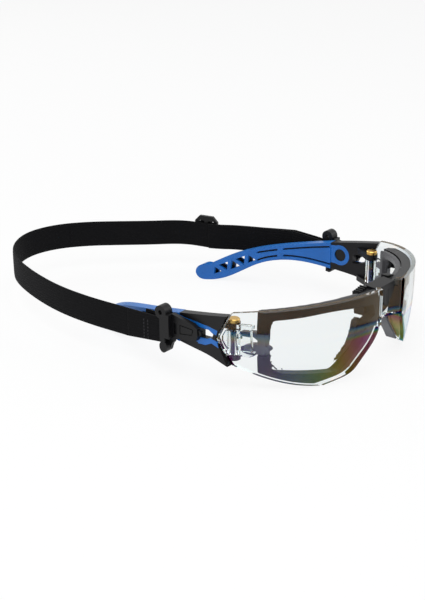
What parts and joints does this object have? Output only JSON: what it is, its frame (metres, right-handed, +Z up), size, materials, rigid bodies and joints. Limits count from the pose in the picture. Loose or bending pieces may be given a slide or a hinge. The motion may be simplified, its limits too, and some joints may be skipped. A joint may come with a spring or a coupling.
{
  "type": "sports protective goggles",
  "caption": "Wraparound clear-lens protective goggles with hinged temples, a clip-in sealing gasket with foam, side clips and an adjustable elastic head strap.",
  "frame": {"origin": "under the middle of the whole object, on the surface that the goggles rest on", "axes": "+X towards the wearer's left, +Y backwards from the lens to the strap, +Z up"},
  "size_m": [0.157, 0.25, 0.0485],
  "materials": {
    "clear_polycarbonate": "clear, hard-coated",
    "brass": "satin",
    "black_nylon": "satin moulded",
    "blue_soft_grip": "satin overmould",
    "black_gasket": "satin",
    "grey_foam": "fine open cell foam",
    "grey_soft_pad": "matte",
    "black_webbing": "ribbed elastic weave",
    "black_acetal": "satin moulded"
  },
  "bodies": {
    "front": {"lens": "clear_polycarbonate", "hinge_block_right": "clear_polycarbonate", "hinge_block_left": "clear_polycarbonate", "hinge_pin_right": "brass", "hinge_pin_left": "brass", "gasket_frame": "black_gasket", "gasket_arm_right": "grey_soft_pad", "gasket_arm_left": "grey_soft_pad", "foam_liner_right": "grey_foam", "foam_liner_left": "grey_foam", "nose_pad_right": "grey_soft_pad", "nose_pad_left": "grey_soft_pad", "head_strap": "black_webbing", "strap_stitching": "black_webbing"},
    "right_temple": {"temple_right": "black_nylon", "temple_grip_right": "blue_soft_grip"},
    "left_temple": {"temple_left": "black_nylon", "temple_grip_left": "blue_soft_grip"},
    "right_clip": {"strap_clip_right": "black_acetal"},
    "left_clip": {"strap_clip_left": "black_acetal"},
    "adjuster": {"strap_adjuster": "black_acetal"}
  },
  "joints": [
    {"name": "right_temple_fold", "type": "hinge", "parent": "front", "child": "right_temple", "pos_m": [-0.06385, -0.07077, 0.025], "axis": [0, 0, -1], "range_deg": [0, 80], "deforming": ["head_strap", "strap_stitching"]},
    {"name": "left_temple_fold", "type": "hinge", "parent": "front", "child": "left_temple", "pos_m": [0.06385, -0.07077, 0.025], "axis": [0, 0, 1], "range_deg": [0, 62], "deforming": ["head_strap", "strap_stitching"]},
    {"name": "right_clip_swivel", "type": "hinge", "parent": "right_temple", "child": "right_clip", "pos_m": [-0.07255, -0.04647, 0.0274], "axis": [1, 0, 0], "range_deg": [-15, 15], "deforming": ["head_strap", "strap_stitching"]},
    {"name": "left_clip_swivel", "type": "hinge", "parent": "left_temple", "child": "left_clip", "pos_m": [0.07255, -0.04647, 0.0274], "axis": [1, 0, 0], "range_deg": [-15, 15], "deforming": ["head_strap", "strap_stitching"]},
    {"name": "adjuster_slide", "type": "slide", "parent": "front", "child": "adjuster", "axis": [0.2267, -0.974, 0], "range_m": [-0.008, 0.008], "deforming": ["head_strap", "strap_stitching"]}
  ]
}
